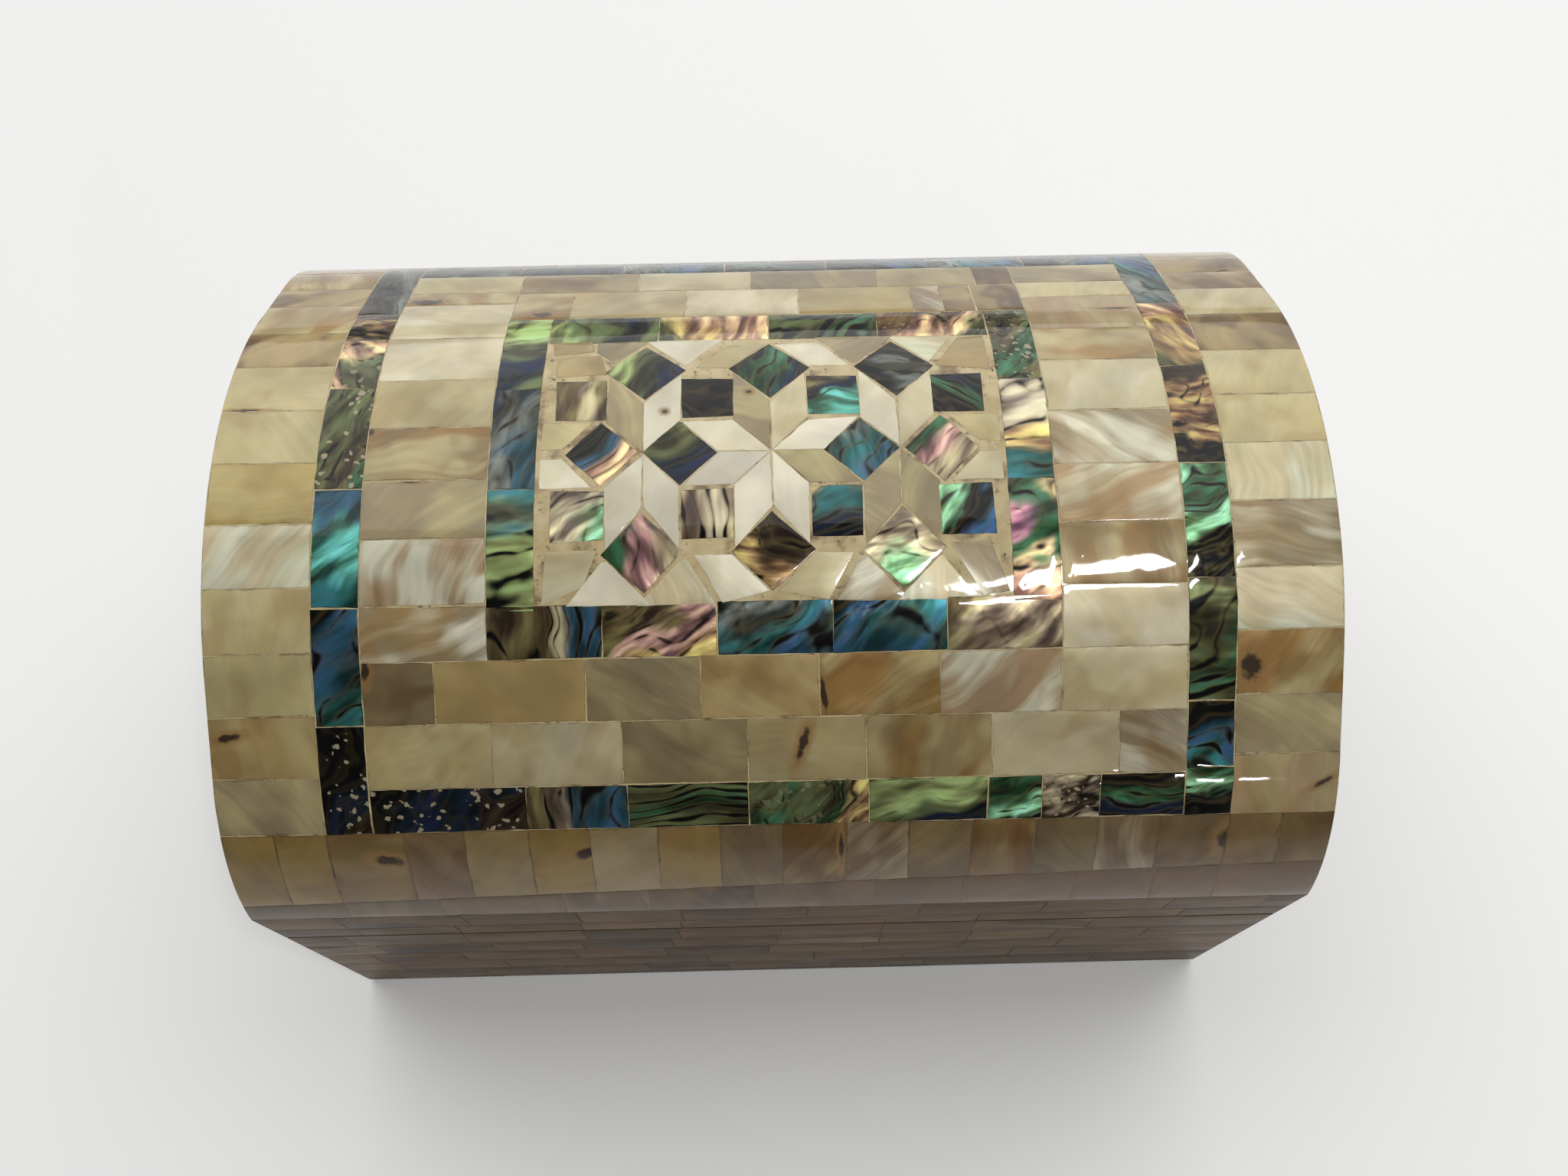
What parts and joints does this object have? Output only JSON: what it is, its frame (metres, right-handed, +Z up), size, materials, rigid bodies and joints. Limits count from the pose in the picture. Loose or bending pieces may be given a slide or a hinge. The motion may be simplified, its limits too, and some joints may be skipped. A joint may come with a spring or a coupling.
{
  "type": "mother of pearl jewelry box",
  "caption": "Treasure-chest jewelry box with a domed lift-off lid, hollow wood covered with pearl and abalone shell mosaic in bands round a star panel.",
  "frame": {"origin": "middle of the underside", "axes": "+X along the box to the right, seen from the front; +Y to the back; +Z up"},
  "size_m": [0.178, 0.1292, 0.114],
  "materials": {
    "wood": "stained, satin",
    "pearl_shell": "cream mother of pearl tiles in beige filler under clear glossy resin",
    "wall_shell": "beige and brown shell tiles in beige filler under clear glossy resin",
    "abalone_shell": "dark blue-green abalone shell under clear glossy resin"
  },
  "bodies": {
    "root": {"body_case": "wood", "lid_case": "wood", "body_front_mosaic": "wall_shell", "body_back_mosaic": "wall_shell", "body_left_mosaic": "wall_shell", "body_right_mosaic": "wall_shell", "lid_front_mosaic": "wall_shell", "lid_back_mosaic": "wall_shell", "lid_left_mosaic": "wall_shell", "lid_right_mosaic": "wall_shell", "dome_front_row": "pearl_shell", "dome_back_row": "pearl_shell", "dome_left_column": "pearl_shell", "dome_right_column": "pearl_shell", "pearl_field": "pearl_shell", "star_panel": "pearl_shell", "outer_abalone_band": "abalone_shell", "inner_band_left_1": "abalone_shell", "inner_band_left_2": "abalone_shell", "inner_band_left_3": "abalone_shell", "inner_band_right_1": "abalone_shell", "inner_band_right_2": "abalone_shell", "inner_band_right_3": "abalone_shell", "inner_band_back_1": "abalone_shell", "inner_band_back_2": "abalone_shell", "inner_band_back_3": "abalone_shell", "inner_band_back_4": "abalone_shell", "inner_band_front_1": "abalone_shell", "inner_band_front_2": "abalone_shell", "inner_band_front_3": "abalone_shell", "inner_band_front_4": "abalone_shell", "inner_band_front_5": "abalone_shell", "star_square_1": "abalone_shell", "star_square_2": "abalone_shell", "star_square_3": "abalone_shell", "star_square_4": "abalone_shell", "star_square_5": "abalone_shell", "star_square_6": "abalone_shell", "star_square_7": "abalone_shell", "star_square_8": "abalone_shell", "star_diamond_1": "abalone_shell", "star_diamond_2": "abalone_shell", "star_diamond_3": "abalone_shell", "star_diamond_4": "abalone_shell", "star_diamond_5": "abalone_shell", "star_diamond_6": "abalone_shell", "star_diamond_7": "abalone_shell", "star_diamond_8": "abalone_shell", "star_diamond_9": "abalone_shell", "star_diamond_10": "abalone_shell"}
  },
  "joints": []
}
